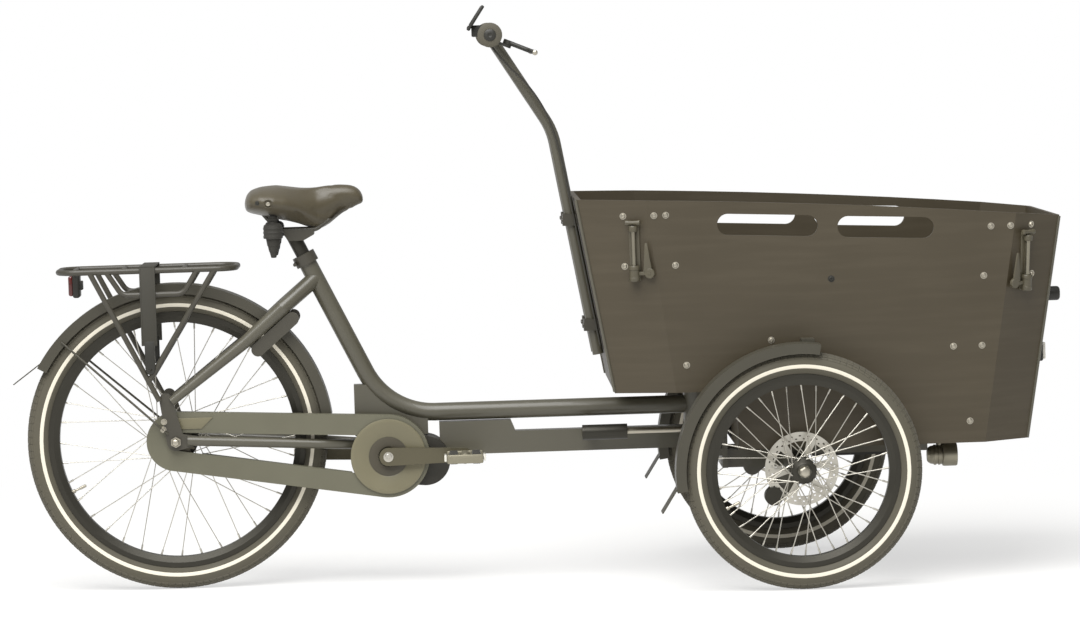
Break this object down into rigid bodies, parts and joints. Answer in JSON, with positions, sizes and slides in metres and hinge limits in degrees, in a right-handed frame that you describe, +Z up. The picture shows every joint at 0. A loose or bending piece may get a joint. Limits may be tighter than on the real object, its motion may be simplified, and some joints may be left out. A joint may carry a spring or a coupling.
{
  "type": "cargo tricycle",
  "caption": "Cargo tricycle with a flared open box between its front wheels, steered as one carriage, with a low bent frame, rear carrier and enclosed chain drive.",
  "frame": {"origin": "on the ground, midway along and across the tricycle", "axes": "+X forward, +Y to the rider's left, +Z up"},
  "size_m": [2.3442, 0.848, 1.284],
  "materials": {
    "frame": "satin paint",
    "case": "moulded",
    "motor": "painted casting",
    "tyre": "matt",
    "rubber": "matt",
    "rim": "satin paint",
    "steel": "bright",
    "hub": "satin",
    "box": "coated panel",
    "dark_steel": "powder coat",
    "plastic": "moulded",
    "saddle": "satin cover",
    "screen": "gloss",
    "lamp": "clear lens in a moulded body"
  },
  "bodies": {
    "rear_frame": {"frame_main_tube": "frame", "frame_lower_rail": "frame", "frame_gusset": "frame", "frame_seat_stays": "frame", "frame_chain_stays": "frame", "frame_dropouts": "frame", "motor": "motor", "chain_case": "case", "chain": "steel", "rear_axle": "steel", "rear_mudguard": "plastic", "carrier": "frame", "carrier_strap": "rubber", "tail_lamp": "lamp", "ring_lock": "plastic", "seat_clamp": "frame", "damper_cylinder": "dark_steel"},
    "rear_wheel": {"rear_tyre": "tyre", "rear_rim": "rim", "rear_spokes": "steel", "rear_hub": "hub"},
    "sprocket": {"rear_sprocket": "steel"},
    "crank": {"crank_arms": "dark_steel", "chainring": "steel"},
    "right_pedal": {"pedal_right": "plastic"},
    "left_pedal": {"pedal_left": "plastic"},
    "seat": {"seatpost": "frame", "saddle_cover": "saddle", "saddle_frame": "dark_steel", "saddle_springs": "rubber"},
    "carriage": {"carriage_frame": "frame", "kingpin": "steel", "box_floor": "box", "box_side_right": "box", "box_side_left": "box", "box_front_panel": "box", "box_rear_panel": "box", "box_fasteners": "steel", "tent_clamps": "dark_steel", "front_mudguards": "plastic", "brake_calipers": "dark_steel", "front_lamps": "lamp", "handlebar": "frame", "grips": "rubber", "display": "screen", "brake_perches": "dark_steel", "brake_cables": "rubber", "battery": "plastic"},
    "right_front_wheel": {"front_tyre_right": "tyre", "front_rim_right": "rim", "front_spokes_right": "steel", "front_hub_right": "hub"},
    "left_front_wheel": {"front_tyre_left": "tyre", "front_rim_left": "rim", "front_spokes_left": "steel", "front_hub_left": "hub"},
    "right_lever": {"brake_lever_right": "dark_steel"},
    "left_lever": {"brake_lever_left": "dark_steel"},
    "shifter": {"twist_shifter": "plastic"},
    "damper": {"damper_rod": "steel"}
  },
  "joints": [
    {"name": "steer", "type": "hinge", "parent": "rear_frame", "child": "carriage", "pos_m": [0.3531, 0, 0.347], "axis": [0, 0, 1], "range_deg": [-35, 35]},
    {"name": "rear_wheel_spin", "type": "hinge", "parent": "rear_frame", "child": "rear_wheel", "pos_m": [-0.8119, 0, 0.335], "axis": [0, 1, 0], "continuous": true},
    {"name": "crank_spin", "type": "hinge", "parent": "rear_frame", "child": "crank", "pos_m": [-0.3419, 0, 0.287], "axis": [0, 1, 0], "continuous": true},
    {"name": "sprocket_spin", "type": "hinge", "parent": "rear_frame", "child": "sprocket", "pos_m": [-0.8119, -0.045, 0.335], "axis": [0, 1, 0], "continuous": true},
    {"name": "right_pedal_spin", "type": "hinge", "parent": "crank", "child": "right_pedal", "pos_m": [-0.1719, -0.14, 0.287], "axis": [0, 1, 0], "continuous": true},
    {"name": "left_pedal_spin", "type": "hinge", "parent": "crank", "child": "left_pedal", "pos_m": [-0.5119, 0.14, 0.287], "axis": [0, 1, 0], "continuous": true},
    {"name": "seat_height", "type": "slide", "parent": "rear_frame", "child": "seat", "axis": [-0.4393, 0, 0.8984], "range_m": [-0.02, 0.1]},
    {"name": "shifter_twist", "type": "hinge", "parent": "carriage", "child": "shifter", "pos_m": [-0.0899, -0.11, 1.216], "axis": [0, 1, 0], "range_deg": [-60, 60]},
    {"name": "damper_travel", "type": "slide", "parent": "rear_frame", "child": "damper", "axis": [1, 0, 0], "range_m": [-0.037, 0.037]},
    {"name": "right_front_wheel_spin", "type": "hinge", "parent": "carriage", "child": "right_front_wheel", "pos_m": [0.5561, -0.375, 0.258], "axis": [0, 1, 0], "continuous": true},
    {"name": "right_brake", "type": "hinge", "parent": "carriage", "child": "right_lever", "pos_m": [-0.04752, -0.081, 1.19811], "axis": [-0.389, 0, -0.9212], "range_deg": [0, 18], "stiffness_Nm_per_rad": 2},
    {"name": "left_front_wheel_spin", "type": "hinge", "parent": "carriage", "child": "left_front_wheel", "pos_m": [0.5561, 0.375, 0.258], "axis": [0, 1, 0], "continuous": true},
    {"name": "left_brake", "type": "hinge", "parent": "carriage", "child": "left_lever", "pos_m": [-0.04752, 0.081, 1.19811], "axis": [0.389, 0, 0.9212], "range_deg": [0, 18], "stiffness_Nm_per_rad": 2}
  ],
  "couplings": [
    {"joint": "sprocket_spin", "follows": "crank_spin", "ratio": 1.9},
    {"joint": "damper_travel", "follows": "steer", "m_per_rad": 0.06}
  ]
}
